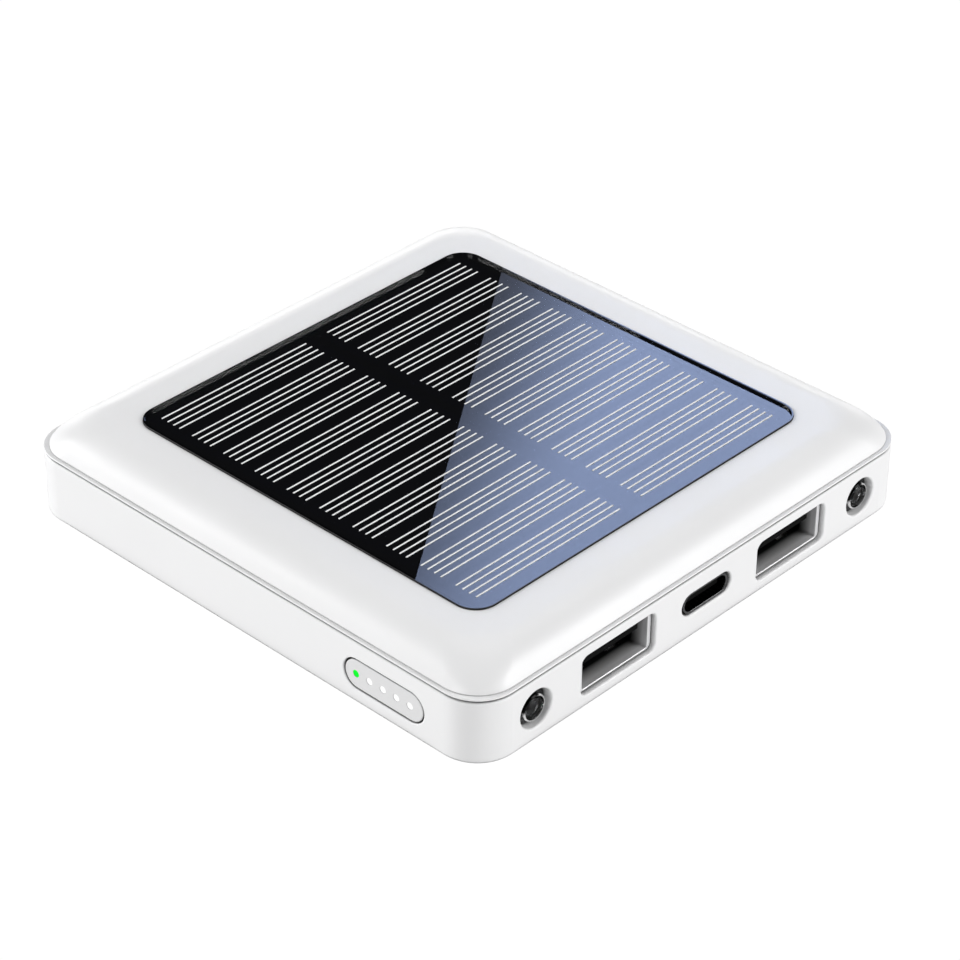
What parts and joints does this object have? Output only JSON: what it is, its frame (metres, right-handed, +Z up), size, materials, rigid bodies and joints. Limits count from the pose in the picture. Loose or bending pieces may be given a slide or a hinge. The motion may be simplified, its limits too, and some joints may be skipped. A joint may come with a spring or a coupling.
{
  "type": "solar phone charger",
  "caption": "Flat square white power bank with a glass-faced solar panel in its domed lid, USB sockets and lamps on one side, and a push button with indicator dots on the next.",
  "frame": {"origin": "middle of the base, on the plane it rests on", "axes": "+Z up through the solar panel, -Y out of the port face, -X out of the button face"},
  "size_m": [0.086, 0.086, 0.014],
  "materials": {
    "white_shell": "satin",
    "white_button": "satin",
    "light_guide": "gloss",
    "panel_glass": "gloss",
    "backsheet": "gloss",
    "silicon_cell": "gloss",
    "silver_line": "matte",
    "tape": "matte",
    "plated_steel": "gloss",
    "black_nickel": "gloss",
    "gold_contact": "gloss",
    "black_plastic": "satin",
    "clear_lens": "gloss",
    "lamp_bezel": "gloss",
    "bright_cup": "gloss",
    "tinned_wire": "satin",
    "circuit_board": "satin",
    "screw_steel": "satin",
    "ferrite": "matte",
    "chip_epoxy": "matte",
    "ceramic_body": "satin",
    "cell_pouch": "satin",
    "nickel_tab": "satin",
    "red_insulation": "satin",
    "black_insulation": "satin"
  },
  "bodies": {
    "housing": {"bottom_cover": "white_shell", "top_cover": "white_shell", "panel_tape": "tape", "panel_backsheet": "backsheet", "solar_cells": "silicon_cell", "cell_lines": "silver_line", "panel_glass": "panel_glass", "usb_a_shell_left": "plated_steel", "usb_a_shell_right": "plated_steel", "usb_a_tongue_left": "black_plastic", "usb_a_tongue_right": "black_plastic", "usb_a_contacts_left": "gold_contact", "usb_a_contacts_right": "gold_contact", "usb_c_shell": "black_nickel", "usb_c_tongue": "black_plastic", "usb_c_contacts": "gold_contact", "lamp_lens_left": "clear_lens", "lamp_lens_right": "clear_lens", "lamp_bezel_left": "lamp_bezel", "lamp_bezel_right": "lamp_bezel", "lamp_sleeve_left": "bright_cup", "lamp_sleeve_right": "bright_cup", "lamp_cup_left": "bright_cup", "lamp_cup_right": "bright_cup", "lamp_leads_left": "tinned_wire", "lamp_leads_right": "tinned_wire", "switch_body": "plated_steel", "indicator_leds": "ceramic_body", "main_board": "circuit_board", "board_screws": "screw_steel", "boost_inductor": "ferrite", "controller_chip": "chip_epoxy", "charger_chip": "chip_epoxy", "mosfets": "chip_epoxy", "ceramic_capacitors": "ceramic_body", "polymer_capacitors": "ceramic_body", "chip_resistors": "chip_epoxy", "blocking_diode": "chip_epoxy", "battery_cell": "cell_pouch", "battery_tape": "tape", "battery_tabs": "nickel_tab", "protection_board": "circuit_board", "protection_chips": "chip_epoxy", "battery_wire_red": "red_insulation", "battery_wire_black": "black_insulation", "solar_wire_red": "red_insulation", "solar_wire_black": "black_insulation"},
    "button": {"power_button": "white_button", "indicator_light_guide": "light_guide"},
    "switch_plunger": {"switch_plunger": "black_plastic"}
  },
  "joints": [
    {"name": "button_press", "type": "slide", "parent": "housing", "child": "button", "axis": [1, 0, 0], "range_m": [0, 0.0003], "stiffness_N_per_m": 2000, "springref_m": -0.0005},
    {"name": "switch_plunger_press", "type": "slide", "parent": "housing", "child": "switch_plunger", "axis": [1, 0, 0], "range_m": [0, 0.0003]}
  ],
  "couplings": [
    {"joint": "switch_plunger_press", "follows": "button_press", "ratio": 1}
  ]
}
